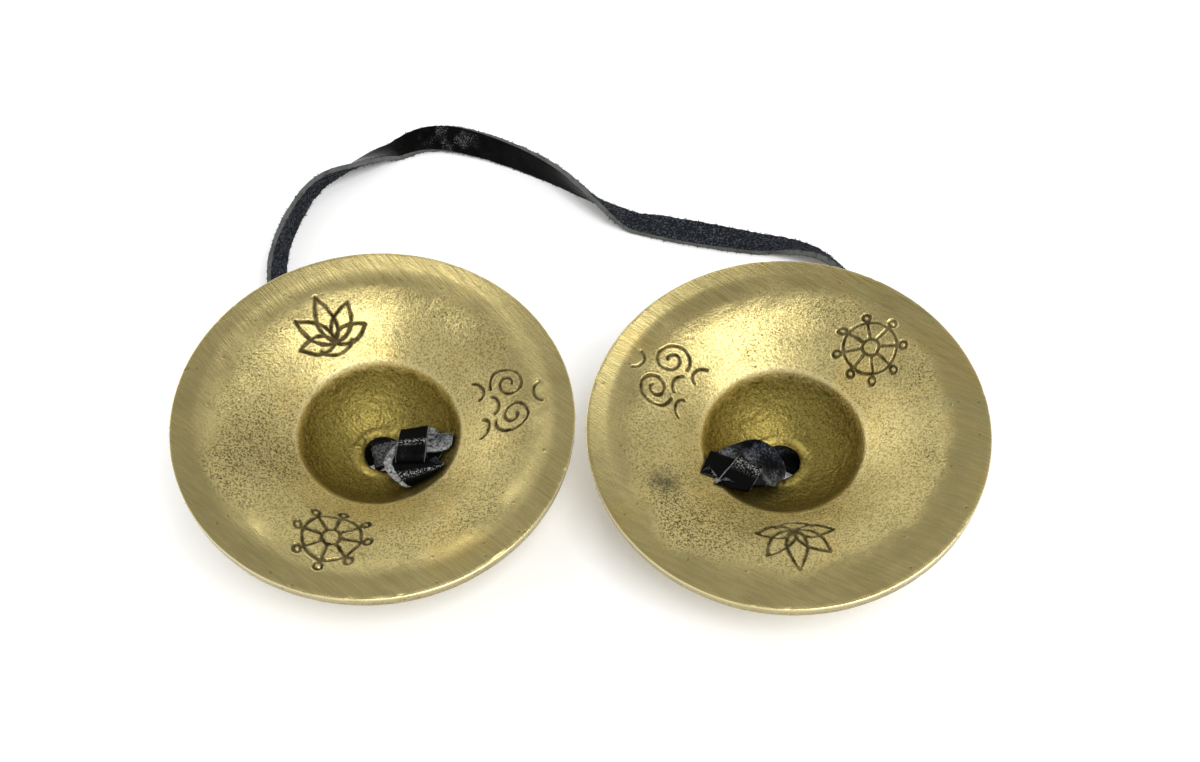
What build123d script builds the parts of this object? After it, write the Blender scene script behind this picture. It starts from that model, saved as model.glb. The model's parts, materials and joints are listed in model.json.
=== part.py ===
from build123d import *
import os
from math import asin, ceil, cos, degrees, radians, sin, sqrt, tan

# Tingsha cymbals: two cast brass cymbals joined by one leather strap with a knot in each end.
# Millimetres, +Z up. The cymbals rest on their domes with their mouths up, and the strap runs
# out from under them and lies in an arch on the surface behind them.

# Sides of the pair, as the sign of x
left, right = -1, 1

# Cymbal casting
rim_radius = 34.0
rim_thickness = 2.6
rim_bevel = 0.4
band_width = 5.8            # flat strike band inside the rim
flare_radius = 22.0         # inner edge of the shallow flare inside the band
flare_drop = 1.8
slope_drop = 5.2            # from the flare down to the cup's lip
cup_mouth_radius = 14.1
cup_depth = 9.2
wall = 2.5
hole_radius = 4.1
bead_radius = 5.2           # low ring cast round the hole, inside the cup
bead_width = 1.6
bead_height = 0.35

# Reach of each eased corner of the casting, from the corner to either end of its curve or bevel
band_root_reach = 1.1       # bevel under the flange, opposite the band's inner edge
flare_reach = 3.4
flare_root_reach = 3.4
lip_reach = 0.9
dome_root_reach = 1.2

# Leather strap
strap_width = 6.2
strap_thickness = 1.3
strap_clearance = 0.12      # between the flat strap and the edge of the hole that leans on it
neck_gap = 0.9              # between the strap's neck and the knot, where the leather flexes

# Knots, each a band wound round a core, with the cut tail lying towards the other cymbal
wrap_depth = 9.0
wrap_height = 6.4
wrap_round = 3.0
core_length = 9.5
core_depth = 6.8
core_height = 4.4
core_round = 2.0
wrap_offset = 6.2           # from the cymbal's axis to the middle of the wrap
wrap_lift = 6.2             # from the cup's floor to the middle of the wrap
knot_pitch = 24.0           # the knot lies up the cup's side
tail_lift = 0.6
tail_reach = {left: 8.5, right: 8.2}
tail_skew = {left: 50.0, right: -4.0}
knot_swing = {left: -36.0, right: -27.0}

# How the pair lies
rim_gap = 1.9
exit_angle = 30.0           # each strap end leaves outwards from +Y by this angle

# Strap route on the surface, from the left cymbal to the right: x, y and roll in degrees.
# Roll 0 is flat with the flesh side up, -90 on edge, -180 flat with the smooth side up.
strap_route = [
    (-39.9, 8.0, 0),
    (-45.7, 18.6, 0),
    (-58.2, 33.8, -10),
    (-65.9, 47.0, -57),
    (-68.1, 60.6, -87),
    (-66.6, 73.4, -93),
    (-63.9, 82.8, -114),
    (-56.7, 90.2, -144),
    (-49.7, 98.2, -177),
    (-39.8, 102.6, -220),
    (-25.4, 97.3, -252),
    (-10.7, 88.6, -269),
    (1.2, 77.4, -311),
    (10.7, 71.8, -373),
    (28.3, 67.1, -376),
    (45.3, 65.4, -347),
    (53.8, 57.4, -310),
    (58.1, 44.0, -308),
    (49.8, 27.2, -360),
    (43.2, 14.4, -360),
    (39.8, 8.1, -360),
]
arc_share = 0.45            # of the shorter run, taken up by the arc at each corner
station_spacing = 5.0       # between the sections of the twisting strap
station_turn = 20.0

# Sizes worked out from the ones above
ball_radius = (cup_mouth_radius ** 2 + cup_depth ** 2) / (2 * cup_depth)
dome_radius = ball_radius + wall
lip_depth = flare_drop + slope_drop
ball_depth = lip_depth + cup_depth - ball_radius
hole_reach = sqrt(hole_radius ** 2 - (strap_width / 2) ** 2)
tilt = asin((strap_thickness + strap_clearance) / (hole_radius + hole_reach))
hole_spread = asin(hole_radius / dome_radius)
ball_height = dome_radius * cos(max(hole_spread - tilt, 0))
lean = sin(tilt) * sin(radians(exit_angle))
pair_spacing = 2 * rim_radius * sqrt(1 - lean ** 2) + rim_gap


def meet(start, along, other, other_along):
    """Point where two lines in the profile's plane cross."""
    det = along.X * other_along.Y - along.Y * other_along.X
    gap = other - start
    return start + along * ((gap.X * other_along.Y - gap.Y * other_along.X) / det)


def on_ball(radius, r):
    """Profile point at distance r from the axis on the ball of the cup or of the dome."""
    return Vector(r, -ball_depth - sqrt(radius ** 2 - r ** 2))


def ball_arc(radius, r_from, r_to):
    """Profile arc on the ball of the cup or of the dome."""
    middle = on_ball(radius, (r_from + r_to) / 2)
    return ThreePointArc(on_ball(radius, r_from), middle, on_ball(radius, r_to))


def bend(before, corner, after, reach):
    """Ends and control point of the curve that eases a corner between two straight runs."""
    start = corner + (before - corner).normalized() * reach
    return start, corner, corner + (after - corner).normalized() * reach


def bend_off_ball(radius, r, reach, line, along):
    """The same for a corner at distance r from the axis, from a ball into a straight line."""
    r_start = radius * sin(asin(r / radius) - reach / radius)
    start = on_ball(radius, r_start)
    corner = meet(start, Vector(sqrt(radius ** 2 - r_start ** 2), r_start), line, along)
    return start, corner, corner + along * (corner - start).length


def cymbal_profile():
    """Half section of the casting: x from the axis, y up from the rim's plane."""
    rim = Vector(rim_radius, 0)
    band = Vector(rim_radius - band_width, 0)
    bend_top = Vector(flare_radius, -flare_drop)
    lip = Vector(cup_mouth_radius, -lip_depth)
    # The underside runs one wall below the flare and the slope
    flare = (bend_top - band).normalized()
    slope = (lip - bend_top).normalized()
    below_flare = band + Vector(-flare.Y, flare.X) * wall
    below_slope = lip + Vector(-slope.Y, slope.X) * wall
    rim_low = Vector(rim_radius, -rim_thickness)
    band_low = meet(rim_low, Vector(1, 0), below_flare, flare)
    bend_low = meet(below_flare, flare, below_slope, slope)
    centre = Vector(0, -ball_depth)
    reach = (centre - below_slope).dot(slope)
    offset = (below_slope + slope * reach - centre).length
    dome_low = below_slope + slope * (reach - sqrt(dome_radius ** 2 - offset ** 2))
    root = bend_off_ball(dome_radius, dome_low.X, dome_root_reach, below_slope, -slope)
    mouth = bend_off_ball(ball_radius, cup_mouth_radius, lip_reach, lip, -slope)

    # One point at a sharp corner, two at a bevel, three at an eased corner
    corners = [
        root,
        bend(root[-1], bend_low, band_low, flare_root_reach),
        bend(bend_low, band_low, rim_low, band_root_reach)[::2],
        (rim_low - Vector(rim_bevel, 0), rim_low + Vector(0, rim_bevel)),
        (rim - Vector(0, rim_bevel), rim - Vector(rim_bevel, 0)),
        (band,),
        bend(band, bend_top, lip, flare_reach),
        mouth[::-1],
    ]
    edges = [Line(before[-1], after[0]) for before, after in zip(corners, corners[1:])]
    edges += [Line(*corner) for corner in corners if len(corner) == 2]
    edges += [Bezier(*corner) for corner in corners if len(corner) == 3]
    bead_out = bead_radius + bead_width / 2
    bead_in = bead_radius - bead_width / 2
    bead_top = on_ball(ball_radius, bead_radius) + Vector(0, bead_height)
    edges += [
        ball_arc(ball_radius, mouth[0].X, bead_out),
        Polyline(on_ball(ball_radius, bead_out), bead_top, on_ball(ball_radius, bead_in)),
        ball_arc(ball_radius, bead_in, hole_radius),
        Line(on_ball(ball_radius, hole_radius), on_ball(dome_radius, hole_radius)),
        ball_arc(dome_radius, hole_radius, root[0].X),
    ]
    return make_face(edges)


def strap_exit(side):
    """Direction in which the strap leaves from under a cymbal."""
    angle = radians(exit_angle)
    return Vector(side * sin(angle), cos(angle), 0)


def cymbal_axis(side):
    """Axis of a cymbal, leaning away from the strap that lies under the edge of its hole."""
    return Vector(0, 0, 1) * cos(tilt) - strap_exit(side) * sin(tilt)


def ball_centre(side):
    """Centre of a cymbal's cup, with the middle of the rim's edge over the X axis."""
    along = rim_thickness / 2 - ball_depth
    flat = Vector(side * pair_spacing / 2, cymbal_axis(side).Y * along, 0)
    return flat + Vector(0, 0, ball_height)


def axis_plane(side, along, swing=0.0):
    """Plane square to a cymbal's axis, its x towards the other cymbal, turned by swing."""
    turn = radians(swing)
    inward = Vector(-side * cos(turn), sin(turn), 0)
    axis = cymbal_axis(side)
    return Plane(ball_centre(side) + axis * along, inward - axis * inward.dot(axis), axis)


def cymbal(side):
    """Cast cymbal in its place."""
    casting = revolve(Plane.XZ * cymbal_profile(), Axis.Z)
    return axis_plane(side, ball_depth) * casting


def strap_half_height(roll):
    """Height of the strap's middle over the surface when it lies at this roll."""
    turn = radians(roll)
    return abs(sin(turn)) * strap_width / 2 + abs(cos(turn)) * strap_thickness / 2


def neck_points(side):
    """Top of the strap's neck in a hole, and the corner where it turns onto the surface."""
    axis = cymbal_axis(side)
    lift = Vector(0, 0, strap_thickness / 2)
    top = ball_centre(side) - axis * (ball_radius + neck_gap / 2) - lift
    return top, top - axis * (top.Z / axis.Z)


def strap_corners():
    """Corners of the strap's route, level with the surface, and the roll at each."""
    left_top, left_corner = neck_points(left)
    right_top, right_corner = neck_points(right)
    floor = [Vector(x, y, 0) for x, y, roll in strap_route]
    rolls = [roll for x, y, roll in strap_route]
    corners = [left_top, left_corner] + floor + [right_corner, right_top]
    return corners, [rolls[0]] * 2 + rolls + [rolls[-1]] * 2


def strap():
    """Flat strap, twisting along its route, with its lower edge on the surface."""
    corners, rolls = strap_corners()
    runs = [after - before for before, after in zip(corners, corners[1:])]
    turns = [radians(run.get_angle(after)) for run, after in zip(runs, runs[1:])]
    shares = [min(run.length, after.length) * arc_share for run, after in zip(runs, runs[1:])]
    radii = [share / tan(turn / 2) for share, turn in zip(shares, turns)]
    path = FilletPolyline(*corners, radius=radii)

    # Lengths along the path, with the roll known at both ends and at the middle of each arc
    stations = [0.0]
    marks = [0.0]
    done = 0.0
    for index, run in enumerate(runs):
        before = shares[index - 1] if index else 0.0
        after = shares[index] if index < len(shares) else 0.0
        straight = run.length - before - after
        steps = ceil(straight / station_spacing)
        stations += [done + straight * step / steps for step in range(1, steps + 1)]
        done += straight
        if index < len(shares):
            arc = radii[index] * turns[index]
            steps = ceil(max(degrees(turns[index]) / station_turn, arc / station_spacing))
            stations += [done + arc * step / steps for step in range(1, steps + 1)]
            marks.append(done + arc / 2)
            done += arc
    marks.append(done)

    sections = []
    for station in stations:
        span = max(i for i, mark in enumerate(marks[:-1]) if mark <= station)
        share = (station - marks[span]) / (marks[span + 1] - marks[span])
        roll = rolls[span] + (rolls[span + 1] - rolls[span]) * min(share, 1)
        middle = path.position_at(station, position_mode=PositionMode.LENGTH)
        along = path.tangent_at(station, position_mode=PositionMode.LENGTH)
        across = along.cross(Vector(0, 0, 1)).normalized()
        over = across.cross(along)
        turn = radians(roll)
        half_width = (across * cos(turn) + over * sin(turn)) * (strap_width / 2)
        half_thickness = (over * cos(turn) - across * sin(turn)) * (strap_thickness / 2)
        middle += Vector(0, 0, strap_half_height(roll))
        sections.append(Wire.make_polygon([
            middle - half_width - half_thickness,
            middle + half_width - half_thickness,
            middle + half_width + half_thickness,
            middle - half_width + half_thickness,
        ]))
    return Solid.make_loft(sections, ruled=True)


def rounded_bar(length, depth, height, radius):
    """Bar along x with a rounded section, centred on the origin."""
    return extrude(Plane.YZ * RectangleRounded(depth, height, radius), length / 2, both=True)


def knot(side):
    """Knot on a cup's floor, with its neck over the hole and its tail up the cup's side."""
    wrap = rounded_bar(strap_width, wrap_depth, wrap_height, wrap_round)
    core = rounded_bar(core_length, core_depth, core_height, core_round)
    tail_size = (tail_reach[side], strap_width, strap_thickness)
    tail = Box(*tail_size, align=(Align.MIN, Align.CENTER, Align.CENTER))
    tail = Pos(0, 0, tail_lift) * Rot(0, 0, tail_skew[side]) * tail
    lying = Pos(wrap_offset, 0, wrap_lift) * Rot(0, -knot_pitch, 0) * (wrap + core + tail)
    # The neck stands in line with the strap's neck below it
    neck_length = wrap_lift - neck_gap / 2
    neck = Box(strap_width, strap_thickness, neck_length, align=(Align.CENTER, Align.CENTER, Align.MIN))
    stands = axis_plane(side, -ball_radius, exit_angle) * Pos(0, 0, neck_gap / 2) * neck
    return axis_plane(side, -ball_radius, knot_swing[side]) * lying + stands


def write(node, solid):
    """One file for each piece."""
    solid.label = node
    export_step(solid, os.path.join("parts", node + ".step"))


os.makedirs("parts", exist_ok=True)
write("left_cymbal", cymbal(left))
write("right_cymbal", cymbal(right))
write("strap", strap())
write("left_knot", knot(left))
write("right_knot", knot(right))
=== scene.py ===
import json
from math import cos, pi, radians, sin, sqrt
import bpy
import numpy as np
from mathutils import Matrix, Vector


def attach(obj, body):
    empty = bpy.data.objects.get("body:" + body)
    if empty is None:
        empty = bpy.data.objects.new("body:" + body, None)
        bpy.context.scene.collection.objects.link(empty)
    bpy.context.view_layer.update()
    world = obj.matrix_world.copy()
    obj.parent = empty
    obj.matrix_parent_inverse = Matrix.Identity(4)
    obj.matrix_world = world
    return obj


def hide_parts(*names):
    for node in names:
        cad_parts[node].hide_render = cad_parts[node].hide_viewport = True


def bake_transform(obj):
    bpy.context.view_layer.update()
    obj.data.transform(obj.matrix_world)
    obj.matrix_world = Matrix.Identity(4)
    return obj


# Looks of the tingsha cymbals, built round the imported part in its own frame, +Z up.
# Shapes are worked out in millimetres and placed in metres.

MM = 0.001
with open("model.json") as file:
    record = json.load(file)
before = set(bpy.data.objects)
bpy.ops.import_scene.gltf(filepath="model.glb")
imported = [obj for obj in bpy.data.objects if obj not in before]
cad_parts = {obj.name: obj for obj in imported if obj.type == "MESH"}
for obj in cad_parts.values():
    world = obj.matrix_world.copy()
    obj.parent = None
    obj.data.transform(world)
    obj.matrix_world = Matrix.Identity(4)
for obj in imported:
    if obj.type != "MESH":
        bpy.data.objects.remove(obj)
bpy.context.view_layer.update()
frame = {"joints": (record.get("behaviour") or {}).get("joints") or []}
joints = {joint["name"]: joint for joint in frame["joints"]}

# Camera, fitted to the photograph
lens, sensor = 33.0, 36.0
camera_pitch, camera_yaw, camera_roll = 47.68, 1.14, 0.32
camera_distance = 192.36
camera_target = (3.21, 7.31, 19.0)

# Cymbal casting
rim_radius = 34.0
rim_thickness = 2.6
band_width = 5.8
flare_radius = 22.0
flare_drop = 1.8
slope_drop = 5.2
cup_mouth_radius = 14.1
cup_depth = 9.2
wall = 2.5
hole_radius = 4.1
hole_mouth_radius = 3.35       # between the bead's inner flanks
bead_radius = 4.5
bead_width = 1.9
bead_height = 0.24
ball_radius = (cup_mouth_radius ** 2 + cup_depth ** 2) / (2 * cup_depth)
dome_radius = ball_radius + wall
lip_depth = flare_drop + slope_drop
crown_depth = lip_depth + cup_depth
ball_depth = crown_depth - ball_radius
segments = 720                 # round each cymbal
outline_step = 0.05
top_step, under_step, edge_step = 0.2, 0.5, 0.12
edge_reach = 0.8               # within which the rim has the fine step

# Engraved ornaments, about a third of a turn apart: motif, radius, and angle in degrees
ornaments = {
    "left": [("lotus", 22.2, 122), ("scroll", 22.6, 13), ("wheel", 23.4, 259)],
    "right": [("scroll", 22.8, 152), ("wheel", 22.2, 43), ("lotus", 22.4, 272)],
}
motif_scale = 1.28
motif_reach = 9.0              # no motif goes farther from its middle
groove_width = 0.62
groove_depth = 0.3

# Surface of each casting. Places are to the right of its axis and behind it.
band_edge = (24.6, 29.6)       # over which the sanding of the strike band sets in
cup_edge = (13.9, 13.1)
pit_count = 170
pit_sizes = (0.07, 0.2)
scratch_turns = {"left": -46, "right": -42}
# Dark speckled spot on each dish: place, size and strength
stain_spots = {"left": (-20.0, -9.0, 9.0, 0.25), "right": (-20.5, -10.5, 4.0, 0.85)}
# Coarse grain left by the sand: place and size
sandy_spots = {"left": (-21.0, -8.0, 15.0), "right": (-15.0, -18.0, 15.0)}
# The bead round the hole: how much wear brightens it, and where a highlight is painted on it
bead_wear = {"left": 0.1, "right": 0.4}
bead_glints = {"left": (-1.9, -3.9), "right": (3.6, 2.7)}

# Strap
strap_width = 6.2
strap_thickness = 1.3
neck_gap = 0.9
strap_step = 0.4
strap_corner = 0.35            # rounding of its edges
nap_count = 12000
nap_length = 0.75
tuft_size = 6                  # fibres of the nap that lean together
strap_glint = (-36, 101)       # where a glint on the smooth side is painted most strongly
strap_free = (16, 30)          # how far back it comes out from under the cymbals
strap_dark = (7.0, 5.5)        # how far back the painted shade under the cymbals begins
# Route on the surface in metres from the left cymbal to the right, with its roll in degrees:
# 0 is flat with the flesh side up, -90 on edge, -180 flat with the smooth side up
strap_route = [
    (-0.0399, 0.0080, 0),
    (-0.0457, 0.0186, 0),
    (-0.0582, 0.0338, -10),
    (-0.0659, 0.0470, -57),
    (-0.0681, 0.0606, -87),
    (-0.0666, 0.0734, -93),
    (-0.0639, 0.0828, -114),
    (-0.0567, 0.0902, -144),
    (-0.0497, 0.0982, -177),
    (-0.0398, 0.1026, -220),
    (-0.0254, 0.0973, -252),
    (-0.0107, 0.0886, -269),
    (0.0012, 0.0774, -311),
    (0.0107, 0.0718, -373),
    (0.0283, 0.0671, -376),
    (0.0453, 0.0654, -347),
    (0.0538, 0.0574, -310),
    (0.0581, 0.0440, -308),
    (0.0498, 0.0272, -360),
    (0.0432, 0.0144, -360),
    (0.0398, 0.0081, -360),
]

# Knots: pieces of strap, each by pairs of points on its two edges, in the cymbal's own directions
# (right, back and along its axis) from the crown of its cup
knots = {
    "left": {
        "band": [
            ((8.2, 4.1, 5.0), (3.1, 2.8, 5.0)),
            ((8.1, 2.9, 6.8), (3.2, 1.6, 6.8)),
            ((8.2, -0.1, 7.5), (3.1, -0.9, 7.5)),
            ((8.2, -0.7, 7.3), (3.1, -1.5, 7.3)),
            ((8.2, -4.4, 6.8), (2.9, -4.8, 6.3)),
            ((8.0, -3.8, 4.4), (3.7, -4.3, 4.2)),
            ((7.8, 0.4, 2.4), (3.9, -0.5, 1.9)),
            ((8.0, 3.4, 3.0), (3.4, 2.4, 2.6)),
        ],
        "loop": [
            ((7.5, 0.3, 5.0), (3.2, 0.0, 5.0)),
            ((8.6, -3.0, 5.2), (2.2, -2.8, 5.2)),
            ((9.8, -4.2, 6.4), (2.0, -4.8, 5.8)),
            ((11.2, -4.9, 7.0), (3.2, -6.6, 6.1)),
            ((12.2, -5.3, 7.6), (5.2, -8.2, 5.2)),
            ((12.3, -5.6, 6.8), (5.9, -8.5, 4.4)),
            ((11.4, -4.0, 4.8), (5.6, -6.4, 2.8)),
            ((10.0, -1.9, 3.4), (5.4, -4.0, 2.2)),
        ],
        "rim": [
            ((3.4, 0.4, 5.2), (2.8, 0.3, 4.6)),
            ((2.3, -2.6, 5.9), (1.2, -2.4, 5.2)),
            ((2.0, -4.7, 6.3), (0.6, -4.7, 5.4)),
            ((3.2, -6.5, 6.3), (2.0, -6.9, 5.4)),
            ((5.3, -8.0, 5.2), (4.6, -8.5, 4.6)),
            ((6.2, -8.4, 4.6), (6.0, -8.7, 4.3)),
        ],
        "tail": [
            ((6.4, 1.6, 5.6), (6.8, -1.6, 5.0)),
            ((7.4, 1.6, 6.0), (7.8, -1.6, 5.2)),
            ((10.3, 1.6, 6.8), (10.6, -1.6, 6.0)),
            ((12.2, 1.5, 7.6), (12.3, -1.5, 7.0)),
            ((12.8, 0.8, 8.0), (12.7, -1.0, 7.6)),
        ],
        "fold": [
            ((7.2, 3.0, 6.0), (7.4, 0.5, 6.2)),
            ((9.1, 3.0, 6.4), (9.9, 0.8, 6.4)),
            ((9.7, 2.3, 6.5), (10.2, 0.9, 6.5)),
        ],
        "under": [
            ((7.0, -1.2, 4.4), (7.2, -2.6, 4.3)),
            ((9.9, -1.2, 4.9), (10.0, -3.0, 4.7)),
            ((11.2, -1.1, 5.6), (11.1, -2.4, 5.4)),
        ],
    },
    "right": {
        "tail": [
            ((-12.5, -1.8, 9.2), (-14.5, -7.0, 10.8)),
            ((-10.5, -2.4, 8.6), (-13.0, -7.2, 10.2)),
            ((-8.2, -2.9, 7.6), (-11.2, -7.4, 9.0)),
            ((-6.1, -3.5, 6.4), (-9.4, -7.4, 7.4)),
        ],
        "band": [
            ((-3.0, -1.6, 3.0), (-7.2, -0.2, 4.4)),
            ((-3.1, -2.9, 5.2), (-7.3, -1.1, 6.8)),
            ((-3.7, -4.7, 6.9), (-7.8, -2.8, 8.5)),
            ((-4.1, -5.6, 6.9), (-8.3, -3.6, 8.6)),
            ((-6.0, -8.6, 6.3), (-12.2, -9.2, 10.2)),
            ((-6.2, -8.8, 5.8), (-12.2, -9.3, 9.8)),
            ((-6.3, -7.3, 4.4), (-10.6, -7.6, 8.0)),
            ((-4.9, -4.6, 2.6), (-8.6, -4.0, 4.8)),
        ],
        "lump": [
            ((-11.7, -0.9, 7.0), (-9.6, -2.8, 7.4)),
            ((-8.3, 0.5, 7.2), (-7.2, -2.9, 7.8)),
            ((-4.7, 1.6, 7.2), (-4.8, -4.0, 7.2)),
            ((-1.5, 0.8, 5.4), (-3.4, -5.1, 5.8)),
            ((0.4, -1.2, 3.4), (-2.7, -6.1, 4.6)),
            ((0.9, -2.7, 1.6), (-1.7, -6.7, 3.4)),
            ((0.5, -3.3, 0.9), (-1.0, -5.3, 1.9)),
        ],
        "fold": [
            ((-2.7, -5.2, 4.4), (-5.5, -4.7, 5.2)),
            ((-3.2, -7.1, 3.8), (-6.0, -7.4, 4.6)),
            ((-3.0, -5.4, 2.0), (-5.8, -5.6, 2.6)),
        ],
    },
}
necks = {
    "left": [
        ((-2.6, 1.4, -1.0), (-1.1, -3.0, -1.0)),
        ((-2.2, 1.5, 0.6), (-0.9, -3.1, 0.5)),
        ((0.6, 1.5, 2.3), (0.9, -3.4, 2.3)),
        ((3.4, 1.4, 3.6), (3.6, -3.4, 3.6)),
        ((5.4, 1.2, 4.2), (5.6, -3.0, 4.2)),
    ],
    "right": [
        ((-1.6, 2.2, -1.0), (-0.6, -3.0, -1.0)),
        ((-2.0, 1.8, 0.8), (-1.2, -3.4, 0.9)),
        ((-3.2, 1.2, 2.6), (-2.6, -3.8, 2.6)),
        ((-5.2, 0.8, 3.6), (-4.6, -3.6, 3.6)),
    ],
}
closed_pieces = ("band",)
flesh_out = {"left": ("tail", "fold", "rim"), "right": ("lump",)}
knot_clearance = 0.5
knot_corner = 0.22
knot_step = 0.22
neck_pale = 0.22
# How pale the flesh is with wear on each piece's face, first edge and second edge
paleness = {
    "left": {"tail": ((0.4, 0.6), 0.25, 0.95), "fold": ((0.5,), 0.6, 0.6), "rim": ((0.95,), 0.9, 0.9),
             "under": ((0.0,), 0.6, 0.8)},
    "right": {"tail": ((0.0,), 0.45, 0.35), "band": ((0.0,), 0.2, 0.6),
              "lump": ((0.36, 0.16, 0.03, 0.03, 0.08, 0.3, 0.32), 0.15, 0.35)},
}
plain_paleness = ((0.0,), 0.25, 0.25)
# Station of each piece's crease, along which a highlight is painted, and how far the highlight spreads
no_crease = (-9.0, 1.0)
creases = {"left": {"band": (2.5, 0.6), "loop": (3.3, 0.5)}, "right": {"band": (2.6, 0.8)}}
# How dark some flesh is made in mottled patches, and how far light comes down each neck out of its painted
# shade
dark_mottling = {"left": {}, "right": {"lump": 0.95}}
neck_lit = {"left": 1.0, "right": 0.12}

# Colours
brass_tones = [(0.3, (0.55, 0.455, 0.19)), (0.52, (0.64, 0.535, 0.235)), (0.72, (0.68, 0.53, 0.20))]
cup_brown = (0.25, 0.195, 0.042, 1)
fine_grit, coarse_grit = (0.50, 0.49, 0.44, 1), (0.22, 0.21, 0.17, 1)
speck_dark = (0.16, 0.15, 0.12, 1)
scratch_dull = (0.60, 0.57, 0.50, 1)
# Wear on the rim and the lip; in the cup, wear on the bead and a highlight painted on it
rubbed_rim, cup_wear_and_glint = (0.84, 0.73, 0.42, 1), (0.72, 0.57, 0.16, 1)
# Dark spot on the dish, and the darker outer wall of the rim
darkening_brown = (0.10, 0.09, 0.05, 1)
pit_dark = (0.08, 0.06, 0.02, 1)
groove_dark = (0.032, 0.022, 0.009, 1)
leather_tones = [(0.20, (0.002, 0.002, 0.002)), (0.42, (0.125, 0.13, 0.12)),
                 (0.58, (0.11, 0.115, 0.105)), (0.80, (0.010, 0.012, 0.017))]
fibre_grey = (0.13, 0.14, 0.155, 1)
flesh_dark = (0.010, 0.011, 0.013, 1)
flesh_pale = (0.46, 0.47, 0.46, 1)
# Painted glints on the smooth side of the leather
grain_glint = (0.34, 0.34, 0.33, 1)
# Painted shade under the cymbals and in the holes, and dark mottled patches on some flesh
shade_black = (0.002, 0.002, 0.002, 1)
floor_white = (0.96, 0.96, 0.96, 1)

# Studio, in metres: each lamp's place, size and power, and the room's grey from the horizon up
lamps = {
    "key": ((0.32, -0.42, 0.90), 0.62, 6.6),
    "back": ((-0.037, 0.133, 0.25), 0.05, 0.03),
    "fill": ((-0.8, 0.5, 0.45), 0.6, 1.2),
}
room_greys = [(0.0, 1.0), (0.35, 0.98), (0.65, 0.77), (0.88, 0.33)]
floor_half = 4.0
floor_drop = 0.05 * MM         # keeps it off the faces that lie on it
floor_glow, far_glow = 0.12, 0.4
glow_reach = (0.3, 1.3)        # over which the far glow, where no lamp reaches, sets in


def unit(vectors):
    return vectors / np.linalg.norm(vectors, axis=-1, keepdims=True)


def ramp(values, start, end):
    """Smooth step from 0 at start to 1 at end."""
    share = np.clip((values - start) / (end - start), 0, 1)
    return share * share * (3 - 2 * share)


def hashed(cells, seed):
    """A repeatable value from 0 to 1 for each whole-number cell."""
    value = cells @ np.array([73856093, 19349663, 83492791]) + seed * 15485863
    value = (value ^ (value >> 13)) * 1274126177 & 0x7FFFFFFF
    value = (value ^ (value >> 15)) * 668265263 & 0x7FFFFFFF
    return (value >> 7 & 0xFFFF) / 0xFFFF


def noise(points, size, seed=0):
    """Smooth noise from -1 to 1 with features of about this size."""
    scaled = points / size
    cells = np.floor(scaled).astype(np.int64)
    share = scaled - cells
    share = share * share * (3 - 2 * share)
    total = np.zeros(len(points))
    for corner in np.ndindex(2, 2, 2):
        weight = np.prod(np.where(corner, share, 1 - share), axis=1)
        total += weight * hashed(cells + np.array(corner), seed)
    return 2 * total - 1


def spread(points, step):
    """The same line with its points this far apart, where the step may vary along it."""
    lengths = np.linalg.norm(np.diff(points[:, :3], axis=0), axis=1)
    marks = np.concatenate([[0], np.cumsum(lengths / step)])
    wanted = np.linspace(0, marks[-1], int(np.ceil(marks[-1])) + 1)
    return np.stack([np.interp(wanted, marks, column) for column in points.T], 1)


def rounded(points, closed, rounds=4):
    """The same line with its corners cut off, again and again until it is smooth."""
    for _ in range(rounds):
        after = np.roll(points, -1, axis=0)
        halved = np.stack([points * 0.75 + after * 0.25, points * 0.25 + after * 0.75], 1)
        if closed:
            points = halved.reshape(-1, points.shape[1])
        else:
            inner = halved[:-1].reshape(-1, points.shape[1])
            points = np.vstack([points[:1], inner[1:-1], points[-1:]])
    return points


def grid_faces(rows, columns, closed):
    """Quads of a grid whose columns close up, and whose rows close up too if asked."""
    row = np.arange(rows if closed else rows - 1)[:, None]
    column = np.arange(columns)[None]
    next_row, next_column = (row + 1) % rows, (column + 1) % columns
    corners = [row * columns + column, next_row * columns + column,
               next_row * columns + next_column, row * columns + next_column]
    corners = [np.broadcast_to(corner, (len(row), columns)) for corner in corners]
    return np.stack(corners, -1).reshape(-1, 4)


def add_mesh(name, points, faces, material, attributes):
    """Smooth-shaded mesh from points in metres, with a value for each point under each name."""
    mesh = bpy.data.meshes.new(name)
    mesh.from_pydata(points.tolist(), [], faces if isinstance(faces, list) else faces.tolist())
    mesh.shade_smooth()
    for label, values in attributes.items():
        mesh.attributes.new(label, "FLOAT", "POINT").data.foreach_set("value", values.astype(np.float32))
    mesh.materials.append(material)
    made = bpy.data.objects.new(name, mesh)
    bpy.context.scene.collection.objects.link(made)
    return made


def place(points, side):
    """Points from the crown of a cup, in the cymbal's own directions, put into the frame in metres."""
    spin = joints[side + "_spin"]
    axis = unit(np.array(spin["axis"], float))
    right = unit(np.array([1.0, 0, 0]) - axis * axis[0])
    back = np.cross(axis, right)
    return np.array(spin["pos_m"]) + points @ np.stack([right, back, axis]) * MM


# Materials

def node(tree, kind, inputs=None, **settings):
    """New node with these settings, and with its inputs linked or set."""
    made = tree.nodes.new("ShaderNode" + kind)
    for name, value in settings.items():
        setattr(made, name, value)
    for name, value in (inputs or {}).items():
        if isinstance(value, bpy.types.NodeSocket):
            tree.links.new(value, made.inputs[name])
        else:
            made.inputs[name].default_value = value
    return made


def blank_material(name):
    """Material with a Principled shader, as its node tree and that shader's node."""
    material = bpy.data.materials.new(name)
    material.use_nodes = True
    tree = material.node_tree
    tree.nodes.clear()
    shader = node(tree, "BsdfPrincipled")
    node(tree, "OutputMaterial", {"Surface": shader.outputs["BSDF"]})
    return material, tree, shader


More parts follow.
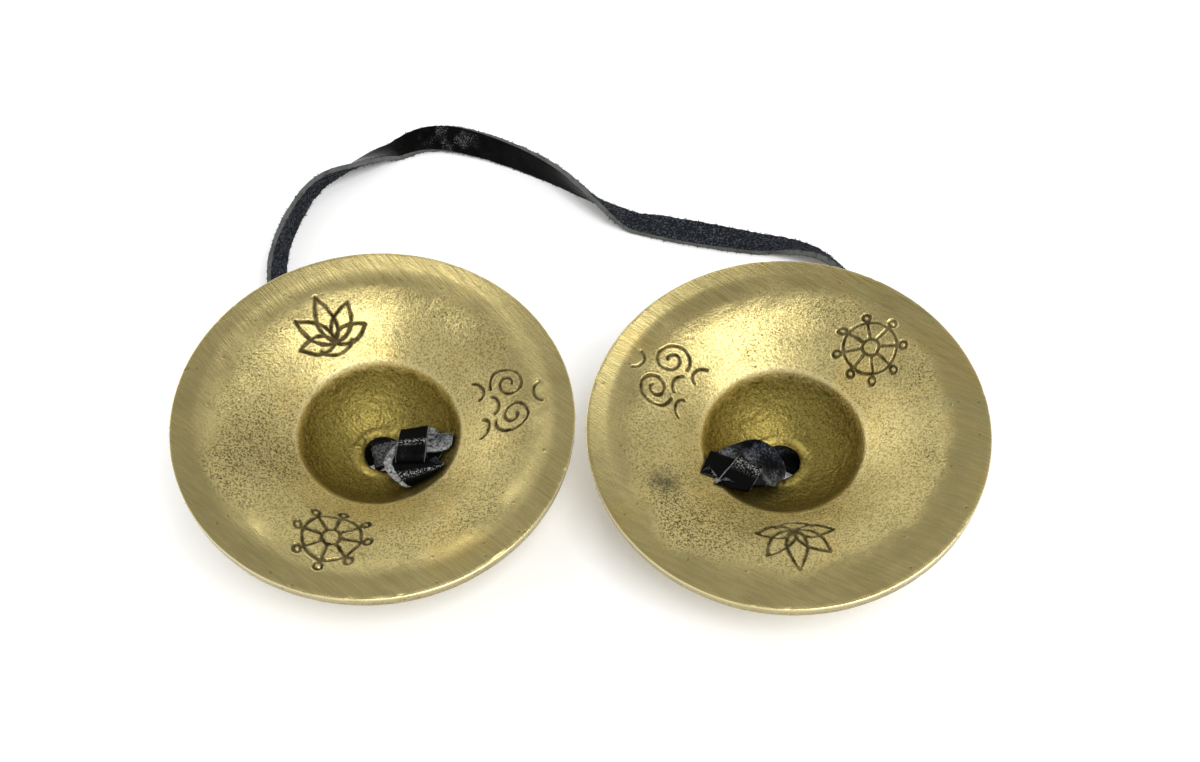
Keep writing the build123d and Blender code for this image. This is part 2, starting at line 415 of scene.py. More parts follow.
def value_of(tree, name):
    """The named value of the mesh's points."""
    return node(tree, "Attribute", attribute_name=name).outputs["Fac"]


def calc(tree, operation, first, second):
    return node(tree, "Math", {0: first, 1: second}, operation=operation).outputs[0]


def times(tree, first, second):
    return calc(tree, "MULTIPLY", first, second)


def plus(tree, first, second):
    return calc(tree, "ADD", first, second)


def mixed(tree, factor, first, second, blend="MIX"):
    """Colour between two, or the first one blended with the second in another way."""
    made = node(tree, "Mix", {0: factor, 6: first, 7: second}, data_type="RGBA", blend_type=blend)
    return made.outputs[2]


def toned(tree, factor, stops):
    """Colour ramp through these stops."""
    made = node(tree, "ValToRGB", {"Fac": factor})
    elements = made.color_ramp.elements
    while len(elements) < len(stops):
        elements.new(0.5)
    for element, (position, colour) in zip(elements, stops):
        element.position = position
        element.color = (*colour, 1)
    return made.outputs["Color"]


def level(tree, factor, start, end):
    """Value that goes from 0 to 1 while the factor goes from start to end."""
    return node(tree, "MapRange", {0: factor, 1: start, 2: end, 3: 0.0, 4: 1.0}).outputs[0]


def texture(tree, vector, size, detail=3.0, roughness=0.55):
    """Noise with features of about this size in millimetres."""
    made = node(tree, "TexNoise", {"Vector": vector, "Scale": 1 / (size * MM), "Detail": detail,
                                   "Roughness": roughness})
    return made.outputs["Fac"]


def scratches(tree, vector, turn, length, width):
    """Noise drawn out into straight scratches in one direction."""
    turned = node(tree, "Mapping", {"Vector": vector, "Rotation": (0, 0, radians(turn)),
                                    "Scale": (length * MM, width * MM, length * MM)}, vector_type="TEXTURE")
    made = node(tree, "TexNoise", {"Vector": turned.outputs["Vector"], "Scale": 1.0, "Detail": 2.0})
    return made.outputs["Fac"]


def brass(name, scratch_turn):
    """Satin brass: sanded on the strike band, sandy as cast in the dish and the cup."""
    material, tree, shader = blank_material(name)
    where = node(tree, "TexCoord").outputs["Object"]
    labels = ("groove", "pit", "band", "cup", "darkening", "wear_and_highlight", "sandy")
    groove, pit, band, cup, darkening, wear_and_highlight, sandy = (value_of(tree, label) for label in labels)
    sand = texture(tree, where, 0.36, 3, 0.7)
    fine = texture(tree, where, 0.34, 2)
    sanded = scratches(tree, where, scratch_turn, 9, 0.2)
    crossed = scratches(tree, where, scratch_turn + 14, 5, 0.4)
    bare = calc(tree, "SUBTRACT", 1.0, band)
    # Scratches show most on the far half of the band
    far = level(tree, node(tree, "SeparateXYZ", {0: where}).outputs["Y"], 0.0, 30 * MM)
    scored = plus(tree, 0.12, times(tree, far, 0.5))

    colour = toned(tree, texture(tree, where, 14, 4), brass_tones)
    colour = mixed(tree, times(tree, cup, 0.9), colour, cup_brown)
    grains = times(tree, level(tree, sand, 0.52, 0.42), bare)
    grit = mixed(tree, sandy, fine_grit, coarse_grit)
    colour = mixed(tree, times(tree, grains, 0.9), colour, grit, "MULTIPLY")
    specks = times(tree, level(tree, fine, 0.58, 0.64), bare)
    speckled = calc(tree, "MAXIMUM", level(tree, texture(tree, where, 9, 2), 0.45, 0.65), sandy)
    specks = times(tree, specks, speckled)
    colour = mixed(tree, times(tree, specks, 0.9), colour, speck_dark, "MULTIPLY")
    streak = times(tree, level(tree, sanded, 0.46, 0.62), band)
    colour = mixed(tree, times(tree, streak, scored), colour, scratch_dull, "MULTIPLY")
    # Wear brightens the rim's edge, the lip and the bead; on the bead a highlight is painted too
    colour = mixed(tree, times(tree, wear_and_highlight, 0.6), colour, mixed(tree, cup, rubbed_rim, cup_wear_and_glint))
    # Dark spot on the dish, and the rim's outer wall made darker
    colour = mixed(tree, darkening, colour, darkening_brown)
    colour = mixed(tree, pit, colour, pit_dark)
    colour = mixed(tree, groove, colour, groove_dark)

    rough = plus(tree, 0.24, times(tree, bare, 0.08))
    rough = plus(tree, rough, times(tree, cup, 0.12))
    rough = plus(tree, rough, times(tree, level(tree, crossed, 0.3, 0.7), 0.06))
    rough = plus(tree, rough, times(tree, groove, 0.4))
    cast = times(tree, plus(tree, sand, times(tree, fine, 0.5)), bare)
    cast = times(tree, cast, plus(tree, 0.8, times(tree, sandy, 0.6)))
    relief = plus(tree, cast, times(tree, times(tree, sanded, band), scored))
    bump = node(tree, "Bump", {"Height": relief, "Strength": 1.0, "Distance": 0.08 * MM})
    tree.links.new(colour, shader.inputs["Base Color"])
    tree.links.new(rough, shader.inputs["Roughness"])
    tree.links.new(bump.outputs["Normal"], shader.inputs["Normal"])
    shader.inputs["Metallic"].default_value = 1.0
    return material


def leather(name):
    """Black leather: smooth grain at side 0, grey cut edges at 0.5, napped flesh at side 1."""
    material, tree, shader = blank_material(name)
    where = node(tree, "TexCoord").outputs["Object"]
    side, wear_and_highlight, pale, shade = (value_of(tree, label) for label in ("side", "wear_and_highlight", "pale", "shade"))
    fibre = texture(tree, where, 0.5, 4, 0.7)
    cloud = texture(tree, where, 5, 3)
    wrinkle = texture(tree, where, 0.9, 3)

    shifted = plus(tree, side, times(tree, calc(tree, "SUBTRACT", fibre, 0.5), 0.2))
    colour = toned(tree, shifted, leather_tones)
    flesh = level(tree, side, 0.3, 0.6)
    light = times(tree, level(tree, fibre, 0.50, 0.64), flesh)
    colour = mixed(tree, times(tree, light, 0.7), colour, fibre_grey)
    dark = times(tree, level(tree, cloud, 0.45, 0.7), flesh)
    colour = mixed(tree, times(tree, dark, 0.5), colour, flesh_dark)
    colour = mixed(tree, times(tree, pale, level(tree, fibre, 0.36, 0.60)), colour, flesh_pale)
    # Painted glints on the smooth side: specks along the strap and streaks along the knots' creases
    rubbing_and_glint = times(tree, wear_and_highlight, level(tree, texture(tree, where, 0.3, 2), 0.5, 0.62))
    colour = mixed(tree, rubbing_and_glint, colour, grain_glint)
    # Painted shade under the cymbals and in the holes, and dark mottled patches on some flesh
    colour = mixed(tree, shade, colour, shade_black)

    rough = plus(tree, 0.22, times(tree, flesh, 0.65))
    rough = plus(tree, rough, times(tree, level(tree, wrinkle, 0.3, 0.7), 0.12))
    relief = plus(tree, wrinkle, times(tree, times(tree, fibre, flesh), 2.0))
    bump = node(tree, "Bump", {"Height": relief, "Strength": 0.6, "Distance": 0.12 * MM})
    tree.links.new(colour, shader.inputs["Base Color"])
    tree.links.new(rough, shader.inputs["Roughness"])
    tree.links.new(bump.outputs["Normal"], shader.inputs["Normal"])
    shader.inputs["Specular IOR Level"].default_value = 0.035
    return material


# Engraved motifs, each a list of lines in millimetres round its own middle

def arc(centre, radius, start, end):
    """Round line, from and to these angles in degrees."""
    angles = np.radians(np.linspace(start, end, 40))
    return np.array(centre) + radius * np.stack([np.cos(angles), np.sin(angles)], 1)


def wheel():
    """Eight spokes between a hub and a felloe, with a bud at the end of each."""
    lines = [arc((0, 0), 1.2, 0, 360), arc((0, 0), 3.7, 0, 360)]
    for angle in np.arange(8) * 45:
        way = np.array([cos(radians(angle)), sin(radians(angle))])
        lines += [np.stack([way * 1.2, way * 3.7]), arc(way * 4.6, 0.5, 0, 360)]
    return lines


def petal(root, angle, length, breadth):
    """Leaf from its root to its tip and back."""
    share = np.linspace(0, 1, 16)
    across = breadth * np.sin(pi * share ** 0.8)
    outline = np.vstack([np.stack([-across, share * length], 1),
                         np.stack([across, share * length], 1)[::-1]])
    turn = radians(angle)
    spun = outline @ np.array([[cos(turn), -sin(turn)], [sin(turn), cos(turn)]])
    return np.array(root) + spun


def lotus():
    """Five petals over a curved base."""
    root = (0, -3.4)
    spans = [(-72, 5.2), (-37, 6.6), (0, 7.4), (37, 6.6), (72, 5.2)]
    lines = [petal(root, angle, length, 1.25) for angle, length in spans]
    return lines + [arc((0, -2.4), 2.6, 208, 332)]


def scroll():
    """Cloud of two curls that turn away from each other, over a wave."""
    lines = []
    for way in (-1, 1):
        angles = np.radians(np.linspace(-90, 470, 60))
        radii = np.linspace(2.7, 0.5, 60)
        curl = np.stack([way * (2.5 + radii * np.cos(angles)), 0.6 + radii * np.sin(angles)], 1)
        lines += [curl, arc((way * 3.0, -4.6), 1.5, 20, 160)]
    return lines + [arc((0, -3.0), 1.6, 30, 150), arc((0, 5.2), 1.5, 200, 340)]


def engraved(strokes, across, along):
    """Distance from each place to the nearest stroke."""
    nearest = np.full(len(across), 1e9)
    places = np.stack([across, along], 1)
    for line in strokes:
        for start, end in zip(line, line[1:]):
            run = end - start
            share = np.clip((places - start) @ run / max(run @ run, 1e-12), 0, 1)
            gap = np.linalg.norm(places - start - share[:, None] * run, axis=1)
            nearest = np.minimum(nearest, gap)
    return nearest


# Cymbals

def on_ball(radius, r):
    """Height of the cup's or the dome's ball at distance r from the axis."""
    return -ball_depth - np.sqrt(radius ** 2 - r ** 2)


def crossed_size(first, second):
    """Signed area between two flat vectors."""
    return first[0] * second[1] - first[1] * second[0]


def meet(start, along, other, other_along):
    """Point where two lines cross."""
    return start + along * (crossed_size(other - start, other_along) / crossed_size(along, other_along))


def cymbal_outline():
    """Closed section of the casting, from the hole round by the rim and back: radius and height."""
    rim, rim_low = np.array([rim_radius, 0]), np.array([rim_radius, -rim_thickness])
    band = np.array([rim_radius - band_width, 0])
    bend_top = np.array([flare_radius, -flare_drop])
    lip = np.array([cup_mouth_radius, -lip_depth])
    flare, slope = unit(bend_top - band), unit(lip - bend_top)
    below_flare = band + np.array([-flare[1], flare[0]]) * wall
    below_slope = lip + np.array([-slope[1], slope[0]]) * wall
    band_low = meet(rim_low, np.array([1.0, 0]), below_flare, flare)
    bend_low = meet(below_flare, flare, below_slope, slope)
    centre = np.array([0, -ball_depth])
    reach = (centre - below_slope) @ slope
    offset = np.linalg.norm(below_slope + slope * reach - centre)
    dome_low = below_slope + slope * (reach - sqrt(dome_radius ** 2 - offset ** 2))

    cup_r = np.linspace(hole_mouth_radius, cup_mouth_radius, 400)
    bead = np.clip(1 - ((cup_r - bead_radius) / (bead_width / 2)) ** 2, 0, 1) * bead_height
    cup = np.stack([cup_r, on_ball(ball_radius, cup_r) + bead], 1)
    dome_r = np.linspace(dome_low[0], hole_radius, 400)
    dome = np.stack([dome_r, on_ball(dome_radius, dome_r)], 1)
    line = np.vstack([cup, bend_top, band, rim, rim_low, band_low, bend_low, dome, cup[:1]])
    line = spread(line, outline_step)[:-1]

    # Corners are rounded by averaging, over a width that suits each of them
    corners = np.array([cup[0], lip, bend_top, band, rim, rim_low, band_low, bend_low, dome_low, dome[-1]])
    widths = np.array([0.25, 0.6, 3.0, 3.0, 0.2, 0.35, 1.2, 2.5, 1.2, 0.3])
    gaps = np.linalg.norm(line[:, None] - corners[None], axis=2) + 0.05
    width = (widths / gaps ** 3).sum(1) / (1 / gaps ** 3).sum(1)
    count = len(line)
    apart = np.abs(np.arange(count)[:, None] - np.arange(count)[None])
    apart = np.minimum(apart, count - apart) * outline_step
    weight = np.exp(-(apart / width[:, None]) ** 2)
    return weight @ line / weight.sum(1, keepdims=True)


def pitted(points, upper, seed):
    """How deep and how dark each point lies in the pits that the sand left on the upper points."""
    picker = np.random.default_rng(seed)
    depth, dark = np.zeros(len(points)), np.zeros(len(points))
    for _ in range(pit_count):
        middle = points[upper[picker.integers(len(upper))]]
        size = picker.uniform(*pit_sizes)
        near = upper[np.abs(points[upper] - middle).max(1) < 2 * size]
        gap = np.linalg.norm(points[near] - middle, axis=1) / size
        depth[near] += 0.6 * size * ramp(gap, 1.2, 0.2)
        dark[near] = np.maximum(dark[near], 0.9 * ramp(gap, 1.3, 0.5))
    return depth, dark


def cut(strokes, across, along, points, seed):
    """How deep and how dark each point lies in these strokes, cut by an unsteady hand."""
    across = across + 0.14 * noise(points, 1.6, seed + 6)
    along = along + 0.14 * noise(points, 1.6, seed + 7)
    gap = engraved(strokes, across / motif_scale, along / motif_scale) * motif_scale
    gap = gap / (groove_width / 2 * (1 + 0.25 * noise(points, 1.1, seed + 8)))
    depth = groove_depth * (0.85 + 0.3 * noise(points, 2.0, seed + 9)) * ramp(gap, 1.15, 0.2)
    depth -= 0.04 * np.exp(-((gap - 1.5) / 0.35) ** 2)
    return depth, ramp(gap, 1.2, 0.75) * (0.82 + 0.18 * noise(points, 0.9, seed + 10))


def cymbal(side, seed):
    """Casting in detail, with engraving, pits, edge wear and a painted bead highlight, in place of the plain
    one.
    """
    line = cymbal_outline()
    line = np.vstack([line, line[:1]])
    step = np.where(np.arange(len(line) - 1) < np.argmax(line[:, 0]), top_step, under_step)
    step[np.abs(line[:-1, 0] - rim_radius) < edge_reach] = edge_step
    line = spread(line, step)[:-1]
    rings = len(line)
    tangent = unit(np.roll(line, -1, axis=0) - np.roll(line, 1, axis=0))
    run = np.concatenate([[0], np.cumsum(np.linalg.norm(np.diff(line, axis=0), axis=1))])
    on_top = np.arange(rings) <= np.argmax(line[:, 0])

    angle = np.tile(np.arange(segments) * 2 * pi / segments, rings)
    r, z, run_at, top = (np.repeat(column, segments) for column in (line[:, 0], line[:, 1], run, on_top))
    round_about = np.stack([np.cos(angle), np.sin(angle)], 1)
    points = np.column_stack([r[:, None] * round_about, z + crown_depth])
    normal_r, normal_z = (np.repeat(column, segments) for column in (-tangent[:, 1], tangent[:, 0]))
    normals = np.column_stack([normal_r[:, None] * round_about, normal_z])

    def from_spot(spot):
        return np.hypot(points[:, 0] - spot[0], points[:, 1] - spot[1])

    # Cup, coarse sand and strike band, with uneven borders
    cup = top * ramp(r + 0.3 * noise(points, 2.0, seed + 18), *cup_edge)
    sand_gap = from_spot(sandy_spots[side]) + 4 * noise(points, 4.0, seed + 19)
    sandy = top * (1 - cup) * ramp(sand_gap, sandy_spots[side][2], 2.0)
    ragged = 1.8 * noise(points, 6.0, seed + 16) + 0.7 * noise(points, 1.8, seed + 17)
    band = top * ramp(r + ragged - 3 * sandy, *band_edge)

    # Waves and grain of the casting, lumps by the hole, and nicks in the rim
    cast = top * (1 - band) + 0.3 * (1 - top)
    height = cast * (0.13 * noise(points, 8.0, seed) + 0.05 * noise(points, 3.0, seed + 1))
    grain = 0.016 * noise(points, 0.8, seed + 2) + 0.018 * noise(points, 0.4, seed + 3)
    height += cast * (1 + 1.8 * cup) * grain
    lumps = 0.2 * noise(points, 2.2, seed + 14) + 0.08 * noise(points, 0.8, seed + 15)
    height += top * ramp(r, 7.0, 5.2) * lumps
    rim = ramp(r, rim_radius - 0.75, rim_radius - 0.2)
    nick = np.clip(noise(points, 1.3, seed + 4) - 0.35, 0, 1) * rim
    height -= 0.12 * nick + 0.03 * rim * (1 + noise(points, 2.5, seed + 5))

    pit_depth, pit = pitted(points, np.flatnonzero(top * (r > 6)), seed)
    height -= pit_depth
    groove = np.zeros(len(points))
    for motif, radius, middle in ornaments[side]:
        across = -r * ((angle - radians(middle) + pi) % (2 * pi) - pi)
        along = run_at - np.interp(radius, line[on_top][:, 0], run[on_top])
        near = np.flatnonzero(top & (np.abs(across) < motif_reach) & (np.abs(along) < motif_reach))
        strokes = {"wheel": wheel, "lotus": lotus, "scroll": scroll}[motif]()
        depth, dark = cut(strokes, across[near], along[near], points[near], seed)
        height[near] -= depth
        groove[near] = np.maximum(groove[near], dark)
    points = points + normals * height[:, None]

    # Wear on the rim's edge, the lip and the bead, a painted highlight on the bead, a dark spot and a darker
    # rim wall
    edge = ramp(r, rim_radius - 0.4, rim_radius - 0.1) * ramp(z, -0.45, -0.1)
    wear_and_highlight = np.clip(edge * (0.85 + 0.5 * noise(points, 1.5, seed + 11)), 0, 1)
    lip_gap = np.hypot(r - cup_mouth_radius, z + lip_depth)
    wear_and_highlight = np.maximum(wear_and_highlight, top * ramp(lip_gap, 1.2, 0.3) * 0.5)
    by_bead = top * ramp(np.abs(r - bead_radius), 1.0, 0.3)
    rubbing_and_glint = bead_wear[side] + 0.8 * noise(points, 2.4, seed + 13)
    # Painted highlight on the bead round its glint spot, on top of its wear
    wear_and_highlight = np.maximum(wear_and_highlight, by_bead * (rubbing_and_glint + ramp(from_spot(bead_glints[side]), 2.2, 0.6)))
    size, strength = stain_spots[side][2:]
    speckled = 0.4 + 0.6 * ramp(noise(points, 0.4, seed + 12) * 0.5 + 0.5, 0.3, 0.7)
    darkening = top * ramp(from_spot(stain_spots[side]), size, 0.3) * speckled * strength
    # The rim's outer wall is made darker too
    darkening = np.maximum(darkening, 0.42 * rim * ramp(z, -0.25, -0.6))

    marks = {"groove": groove, "pit": pit, "band": band, "cup": cup, "wear_and_highlight": wear_and_highlight, "darkening": darkening,
             "sandy": sandy}
    made = add_mesh(side + "_cymbal_casting", place(points, side), grid_faces(rings, segments, True),
                    brass(side + "_brass", scratch_turns[side]), marks)
    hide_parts(side + "_cymbal")
    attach(made, side + "_cymbal")


# Leather

def section(width, thickness, corner=strap_corner):
    """Rounded section of the strap: places across it and over it, and its side from grain to flesh."""
    flat, stand = width / 2 - corner, thickness / 2 - corner
    bend = corner * np.sin(np.radians([22.5, 45, 67.5]))
    face, edge = np.linspace(flat, -flat, 11), np.linspace(stand, -stand, 3)
    # Flesh face, corner, left edge and corner; the grain face and the right edge are the same turned round
    across = np.concatenate([face, -flat - bend, [-width / 2] * 3, -flat - bend[::-1]])
    over = np.concatenate([[thickness / 2] * 11, stand + bend[::-1], edge, -stand - bend])
    side = [1.0] * 11 + [0.8, 0.6] + [0.5] * 5 + [0.35, 0.15]
    side += [0.0] * 11 + [0.15, 0.35] + [0.5] * 5 + [0.6, 0.8]
    return np.concatenate([across, -across]), np.concatenate([over, -over]), np.array(side)


def capped(faces, rows, columns):
    """The faces of an open tube, with both of its ends closed."""
    first = list(range(columns))
    last = [(rows - 1) * columns + column for column in range(columns)]
    return faces.tolist() + [first, last[::-1]]


def nurbs_line(controls):
    """Points along a smooth spline with these control points."""
    curve = bpy.data.curves.new("route", "CURVE")
    curve.dimensions = "3D"
    spline = curve.splines.new("NURBS")
    spline.points.add(len(controls) - 1)
    for point, control in zip(spline.points, controls):
        point.co = (*control, 1)
    spline.order_u = 3
    spline.use_endpoint_u = True
    spline.resolution_u = 24
    holder = bpy.data.objects.new("route", curve)
    mesh = bpy.data.meshes.new_from_object(holder)
    line = np.array([vertex.co for vertex in mesh.vertices])
    bpy.data.objects.remove(holder)
    bpy.data.meshes.remove(mesh)
    bpy.data.curves.remove(curve)
    return line


def neck_points(side):
    """Top of the strap's neck in a hole, and the corner where it turns onto the surface, in metres."""
    spin = joints[side + "_spin"]
    axis = Vector(spin["axis"])
    lift = Vector((0, 0, strap_thickness / 2 * MM))
    top = Vector(spin["pos_m"]) - axis * (neck_gap / 2 * MM) - lift
    return top, top - axis * (top.z / axis.z)


def strap(material):
    """Strap along its route, twisting as it goes, with its nap."""
    left_top, left_corner = neck_points("left")
    right_top, right_corner = neck_points("right")
    controls = [left_top, left_corner] + [Vector((x, y, 0)) for x, y, roll in strap_route]
    controls += [right_corner, right_top]
    rolls = [roll for x, y, roll in strap_route]
    rolls = [rolls[0]] * 2 + rolls + [rolls[-1]] * 2
    line = nurbs_line(controls) / MM
    turn = nurbs_line([(radians(roll), 0, 0) for roll in rolls])[:, 0]
    stations = spread(np.column_stack([line, turn]), strap_step)
    middle, turn = stations[:, :3], stations[:, 3]
    tangent = unit(np.gradient(middle, axis=0))
    right = unit(np.cross(tangent, [0, 0, 1.0]))
    up = np.cross(right, tangent)
    wide = np.cos(turn)[:, None] * right + np.sin(turn)[:, None] * up
    thick = np.cos(turn)[:, None] * up - np.sin(turn)[:, None] * right
    half_height = np.abs(np.sin(turn)) * strap_width / 2 + np.abs(np.cos(turn)) * strap_thickness / 2
    middle = middle + np.array([0, 0, 1.0]) * half_height[:, None]

    across, over, side = section(strap_width, strap_thickness)
    rows, columns = len(middle), len(across)
    points = (middle[:, None] + across[None, :, None] * wide[:, None]
              + over[None, :, None] * thick[:, None]).reshape(-1, 3)
    outward = unit(across[None, :, None] / strap_width * wide[:, None] * (np.abs(over) < 0.6)[None, :, None]
                   + over[None, :, None] / strap_thickness * thick[:, None]).reshape(-1, 3)
    side_at = np.tile(side, rows)
    free = ramp(points[:, 1], *strap_free)
    rough = ramp(side_at, 0.2, 0.6)
    shift = free * rough * (0.16 * noise(points, 0.7, 3) + 0.08 * noise(points, 0.35, 4))
    shift += free * (0.10 * noise(points, 4.0, 5) + 0.03 * noise(points, 1.2, 6))
    points = points + outward * shift[:, None]
    points[:, 2] = np.maximum(points[:, 2], 0)
    # Painted glint specks on the smooth side, strongest round the glint spot
    by_glint = ramp(np.hypot(points[:, 0] - strap_glint[0], points[:, 1] - strap_glint[1]), 10, 3)
    wear_and_highlight = free * ramp(noise(points, 1.6, 7), -0.2, 0.8) * (0.02 + 0.4 * by_glint)
    # Painted shade where the strap runs under the cymbals and into the holes
    made = add_mesh("strap_leather", points * MM, capped(grid_faces(rows, columns, False), rows, columns),
                    material, {"side": side_at, "wear_and_highlight": wear_and_highlight, "pale": np.zeros(len(points)),
                               "shade": ramp(points[:, 1], *strap_dark)})
    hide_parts("strap")
    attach(made, "strap")

    hairy = np.flatnonzero((side_at > 0.3) & (free > 0.9))
    nap = strands("strap_nap", points, outward, hairy, nap_count, nap_length, material, 8)
    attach(nap, "strap")


def strands(name, points, outward, roots, count, length, material, seed):
    """Short loose fibres that stand on a napped surface, each a thin three-sided spike."""
    picker = np.random.default_rng(seed)
    tufts = count // tuft_size
    chosen = np.repeat(roots[picker.integers(len(roots), size=tufts)], tuft_size)
    lean = np.repeat(picker.normal(size=(tufts, 3)), tuft_size, axis=0)
    count = len(chosen)
    way = unit(outward[chosen] + 0.5 * lean + 0.35 * picker.normal(size=(count, 3)))
    reach = length * np.repeat(picker.uniform(0.3, 1.0, tufts), tuft_size)[:, None]
    reach = reach * picker.uniform(0.6, 1.0, (count, 1))
    aside = unit(np.cross(way, picker.normal(size=(count, 3))))
    beside = np.cross(way, aside)
    base = points[chosen] - 0.03 * way + 0.08 * picker.normal(size=(count, 3))
    corners = [base + 0.035 * (cos(a) * aside + sin(a) * beside) for a in (0, 2 * pi / 3, 4 * pi / 3)]
    tip = base + way * reach
    tip[:, 2] = np.maximum(tip[:, 2], 0.01)
    spikes = np.stack(corners + [tip], 1).reshape(-1, 3)
    start = np.arange(count)[:, None] * 4
    faces = np.concatenate([start + np.array(corner) for corner in ((0, 1, 3), (1, 2, 3), (2, 0, 3))])
    side = np.repeat(picker.uniform(0.45, 0.85, count), 4)
    blank = np.zeros(count * 4)
    marks = {"side": side, "wear_and_highlight": blank, "pale": blank, "shade": blank}
    return add_mesh(name, spikes * MM, faces, material, marks)


def strip(stations, closed, flesh_outside, crease, seed):
    """Piece of strap between two edges, with a highlight painted along a crease.

    Returns its points and faces, and for each point the side of the leather, how much wear and painted
    highlight it has, how far across the strap it lies (past -1 and 1 on the cut edges) and its station.
    """
    edges = np.column_stack([np.array(stations, float).reshape(-1, 6), np.arange(len(stations))])
    edges = rounded(edges, closed)
    if closed:
        edges = spread(np.vstack([edges, edges[:1]]), knot_step)[:-1]
        along = np.roll(edges, -1, axis=0) - np.roll(edges, 1, axis=0)
    else:
        edges = spread(edges, knot_step)
        along = np.gradient(edges, axis=0)
    first, second, station = edges[:, :3], edges[:, 3:6], edges[:, 6]
    middle = (first + second) / 2
    along, wide = unit(along[:, :3] + along[:, 3:6]), second - first
    width = np.linalg.norm(wide, axis=1)
    out = unit(np.cross(wide, along))
    wide = unit(wide)
    # The section's flats stretch to the width here, and its corners keep their size
    across, over, side = section(strap_width, strap_thickness, knot_corner)
    flat = strap_width / 2 - knot_corner
    kept = np.clip(np.abs(across) - flat, 0, None) * np.sign(across)
    shares = np.clip(across / flat, -1, 1)
    across = shares[None] * (width[:, None] / 2 - knot_corner) + kept[None]
    rows, columns = across.shape
    points = (middle[:, None] + across[:, :, None] * wide[:, None]
              + (over - strap_thickness / 2)[None, :, None] * out[:, None]).reshape(-1, 3)
    side_at = np.tile(side if flesh_outside else 1 - side, rows)
    outward = unit(kept[None, :, None] * wide[:, None]
                   + (over / strap_thickness)[None, :, None] * out[:, None] + 1e-9).reshape(-1, 3)
    # Painted highlight along the crease, on one face
    wear_and_highlight = np.repeat(ramp(np.abs(station - crease[0]), crease[1], 0), columns) * (np.tile(over, rows) > 0)
    rough = ramp(side_at, 0.2, 0.6)
    shift = rough * (0.10 * noise(points, 0.6, seed) + 0.06 * noise(points, 0.3, seed + 1))
    shift += 0.08 * noise(points, 1.8, seed + 2)
    points = points + outward * shift[:, None]
    across_at = np.tile(shares + np.sign(kept), rows)
    faces = grid_faces(rows, columns, closed)
    faces = faces.tolist() if closed else capped(faces, rows, columns)
    return points, faces, side_at, wear_and_highlight, across_at, np.repeat(station, columns)


def inside_cup(points):
    """The same points, with those too near the cup or the slope over it moved off it."""
    centre = np.array([0, 0, ball_radius])
    away = points - centre
    gap = np.linalg.norm(away, axis=1)
    reach = ball_radius - knot_clearance
    out = (gap > reach) & (points[:, 2] < cup_depth + 0.2)
    points = points.copy()
    points[out] = centre + away[out] / gap[out, None] * reach
    r = np.hypot(points[:, 0], points[:, 1])
    rise = (flare_radius - cup_mouth_radius) / slope_drop
    limit = cup_mouth_radius + (points[:, 2] - cup_depth) * rise - knot_clearance
    out = (points[:, 2] > cup_depth - 0.3) & (r > limit)
    points[out, :2] *= (limit[out] / r[out])[:, None]
    return points


def knot(side, material, seed):
    """Knot folded from pieces of strap, and the neck that it stands on."""
    points, faces, count = [], [], 0
    marks = {"side": [], "wear_and_highlight": [], "pale": [], "shade": []}
    for number, (label, stations) in enumerate(knots[side].items()):
        piece_points, piece_faces, side_at, wear_and_highlight, across_at, station = strip(
            stations, label in closed_pieces, label in flesh_out[side],
            creases[side].get(label, no_crease), seed + 10 * number)
        points.append(inside_cup(piece_points))
        faces += [[corner + count for corner in face] for face in piece_faces]
        count += len(piece_points)
        face, first_edge, second_edge = paleness[side].get(label, plain_paleness)
        on_face = np.interp(station, np.linspace(0, len(stations) - 1, len(face)), face)
        on_face = np.clip(on_face + (second_edge - first_edge) / 2 * across_at, 0, 1)
        pale = np.where(across_at < -1, first_edge, np.where(across_at > 1, second_edge, on_face))
        mottled = ramp(noise(piece_points, 1.5, seed + 5), -0.5, 0.4)
        marks["side"].append(side_at)
        marks["wear_and_highlight"].append(wear_and_highlight)
        marks["pale"].append(pale * ramp(side_at, 0.3, 0.6))
        # Some flesh is darkened in mottled patches, with the same black as the painted shade
        marks["shade"].append(dark_mottling[side].get(label, 0.0) * mottled * (1 - pale))
    marks = {label: np.concatenate(values) for label, values in marks.items()}
    made = add_mesh(side + "_knot_leather", place(np.vstack(points), side), faces, material, marks)
    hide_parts(side + "_knot")
    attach(made, side + "_knot")

    points, faces, side_at, wear_and_highlight = strip(necks[side], False, True, no_crease, seed + 90)[:4]
    # Painted shade on the neck down in its hole and on its edges; light comes down onto its flesh, and its
    # pale nap shows only where it is lit
    lit = neck_lit[side] * ramp(points[:, 2], -1.0, 0.0) * ramp(side_at, 0.5, 0.9)
    pale = neck_pale * neck_lit[side] * (side_at > 0.9)
    marks = {"side": side_at, "wear_and_highlight": wear_and_highlight, "pale": pale, "shade": 1 - lit}
    neck = add_mesh(side + "_neck_leather", place(points, side), faces, material, marks)
    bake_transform(neck)


# Studio

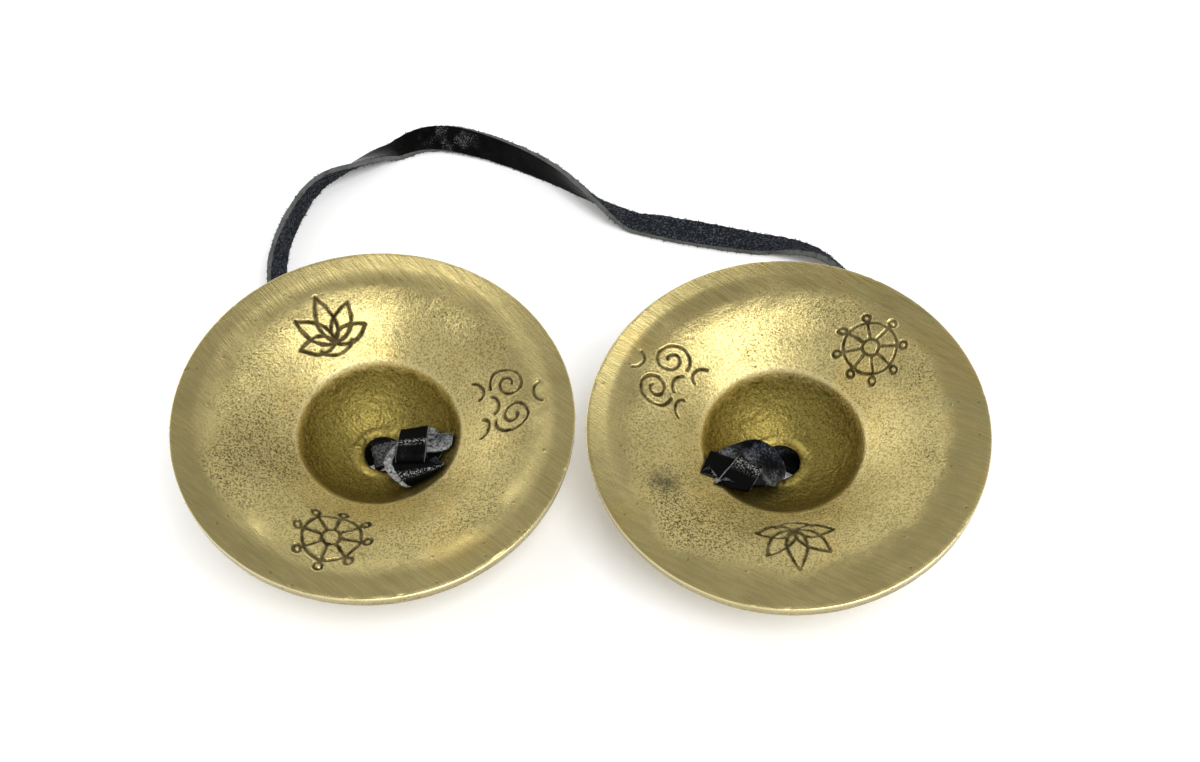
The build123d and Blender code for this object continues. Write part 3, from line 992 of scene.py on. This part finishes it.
def studio():
    """White floor, soft lamps and an even grey room round them."""
    material, tree, shader = blank_material("floor_white")
    shader.inputs["Base Color"].default_value = floor_white
    shader.inputs["Roughness"].default_value = 0.9
    shader.inputs["Specular IOR Level"].default_value = 0.0
    shader.inputs["Emission Color"].default_value = (1, 1, 1, 1)
    where = node(tree, "TexCoord").outputs["Object"]
    away = node(tree, "VectorMath", {0: where}, operation="LENGTH").outputs["Value"]
    glow = plus(tree, floor_glow, times(tree, level(tree, away, *glow_reach), far_glow))
    tree.links.new(glow, shader.inputs["Emission Strength"])
    corners = np.array([[-1, -1, 0], [1, -1, 0], [1, 1, 0], [-1, 1, 0]]) * floor_half
    floor = add_mesh("floor", corners - np.array([0, 0, floor_drop]), [[0, 1, 2, 3]], material, {})

    for name, (where, size, power) in lamps.items():
        lamp = bpy.data.lights.new(name, "AREA")
        lamp.size = size
        lamp.energy = power
        holder = bpy.data.objects.new(name, lamp)
        holder.location = where
        holder.rotation_euler = (-Vector(where)).to_track_quat("-Z", "Y").to_euler()
        bpy.context.scene.collection.objects.link(holder)

    world = bpy.data.worlds.new("room")
    bpy.context.scene.world = world
    world.use_nodes = True
    tree = world.node_tree
    tree.nodes.clear()
    way = node(tree, "SeparateXYZ", {0: node(tree, "TexCoord").outputs["Generated"]})
    grey = toned(tree, way.outputs["Z"], [(height, (value,) * 3) for height, value in room_greys])
    light = node(tree, "Background", {"Color": grey, "Strength": 1.0})
    node(tree, "OutputWorld", {"Surface": light.outputs[0]})


def camera():
    """Camera at the place and angle of the photograph."""
    data = bpy.data.cameras.new("camera")
    data.lens = lens
    data.sensor_width = sensor
    data.sensor_fit = "HORIZONTAL"
    data.clip_start = 0.01
    holder = bpy.data.objects.new("camera", data)
    turn = (Matrix.Rotation(radians(camera_yaw), 4, "Z") @ Matrix.Rotation(radians(90 - camera_pitch), 4, "X")
            @ Matrix.Rotation(radians(camera_roll), 4, "Z"))
    back = turn.col[2].xyz
    place_at = Matrix.Translation((Vector(camera_target) + back * camera_distance) * MM)
    holder.matrix_world = place_at @ turn
    bpy.context.scene.collection.objects.link(holder)
    bpy.context.scene.camera = holder


bpy.context.scene.view_settings.view_transform = "Standard"
camera()
studio()
hide = leather("strap_hide")
strap(hide)
cymbal("left", 21)
cymbal("right", 57)
knot("left", hide, 31)
knot("right", hide, 67)
